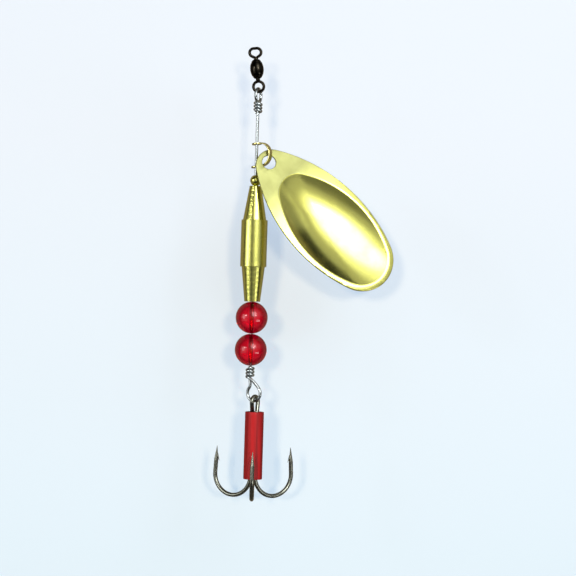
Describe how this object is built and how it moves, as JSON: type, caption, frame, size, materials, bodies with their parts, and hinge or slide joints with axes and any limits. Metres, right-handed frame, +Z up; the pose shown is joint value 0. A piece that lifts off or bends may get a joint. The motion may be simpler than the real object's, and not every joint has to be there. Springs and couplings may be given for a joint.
{
  "type": "inline spinner",
  "caption": "In-line fishing spinner: a barrel swivel and looped wire shaft carry a bowled brass blade on a clevis, a turned brass body, red beads and a sleeved treble hook.",
  "frame": {"origin": "centre of the swivel's upper eye, where the line is tied", "axes": "+Z up towards the line, along the shaft wire; -Y is the side the bowl of the blade faces; +X is the side the blade hangs to"},
  "size_m": [0.0438, 0.0176, 0.1128],
  "materials": {
    "black_nickel": "brass plated with black nickel",
    "steel_wire": "bright drawn stainless wire",
    "clevis_brass": "bright brass",
    "blade_brass": "polished bowl with a satin rim",
    "turned_brass": "turned and polished",
    "red_bead": "clear red, polished",
    "bronzed_hook": "dark bronze lacquer on steel wire",
    "red_sleeve": "soft matt red vinyl tube"
  },
  "bodies": {
    "line_eye": {"swivel_upper_eye": "black_nickel"},
    "barrel": {"swivel_barrel": "black_nickel"},
    "lower_eye": {"swivel_lower_eye": "black_nickel"},
    "shaft": {"shaft_wire": "steel_wire"},
    "clevis": {"clevis": "clevis_brass"},
    "blade": {"blade": "blade_brass"},
    "bearing": {"bearing_bead": "clevis_brass"},
    "body": {"brass_body": "turned_brass"},
    "upper_bead": {"upper_red_bead": "red_bead"},
    "lower_bead": {"lower_red_bead": "red_bead"},
    "treble": {"treble_double_hook": "bronzed_hook", "treble_single_hook": "bronzed_hook", "treble_braze": "bronzed_hook", "hook_sleeve": "red_sleeve"}
  },
  "joints": [
    {"name": "barrel_spin", "type": "hinge", "parent": "line_eye", "child": "barrel", "pos_m": [0, 0, 0], "axis": [-0.1253, 0, 0.9921], "continuous": true},
    {"name": "lower_eye_spin", "type": "hinge", "parent": "barrel", "child": "lower_eye", "pos_m": [0.00107, 0, -0.0085], "axis": [-0.1253, 0, 0.9921], "continuous": true},
    {"name": "shaft_swing", "type": "hinge", "parent": "lower_eye", "child": "shaft", "pos_m": [0.00107, 0, -0.0085], "axis": [0, 1, 0], "range_deg": [-145, 128]},
    {"name": "clevis_spin", "type": "hinge", "parent": "shaft", "child": "clevis", "pos_m": [0.00107, 0, -0.02571], "axis": [0, 0, 1], "continuous": true},
    {"name": "blade_swing", "type": "hinge", "parent": "clevis", "child": "blade", "pos_m": [0.00424, -0.00187, -0.02751], "axis": [0.2497, -0.9395, 0.2343], "range_deg": [-26, 19]},
    {"name": "bearing_spin", "type": "hinge", "parent": "shaft", "child": "bearing", "pos_m": [0.00107, 0, -0.032], "axis": [0, 0, 1], "continuous": true},
    {"name": "body_spin", "type": "hinge", "parent": "shaft", "child": "body", "pos_m": [0.00107, 0, -0.03336], "axis": [0, 0, 1], "continuous": true},
    {"name": "upper_bead_spin", "type": "hinge", "parent": "shaft", "child": "upper_bead", "pos_m": [0.00107, 0, -0.06627], "axis": [0, 0, 1], "continuous": true},
    {"name": "lower_bead_spin", "type": "hinge", "parent": "shaft", "child": "lower_bead", "pos_m": [0.00107, 0, -0.07431], "axis": [0, 0, 1], "continuous": true},
    {"name": "treble_swing", "type": "hinge", "parent": "shaft", "child": "treble", "pos_m": [0.00252, -0.00102, -0.0872], "axis": [-0.8191, 0.5736, 0], "range_deg": [-130, 130]}
  ]
}
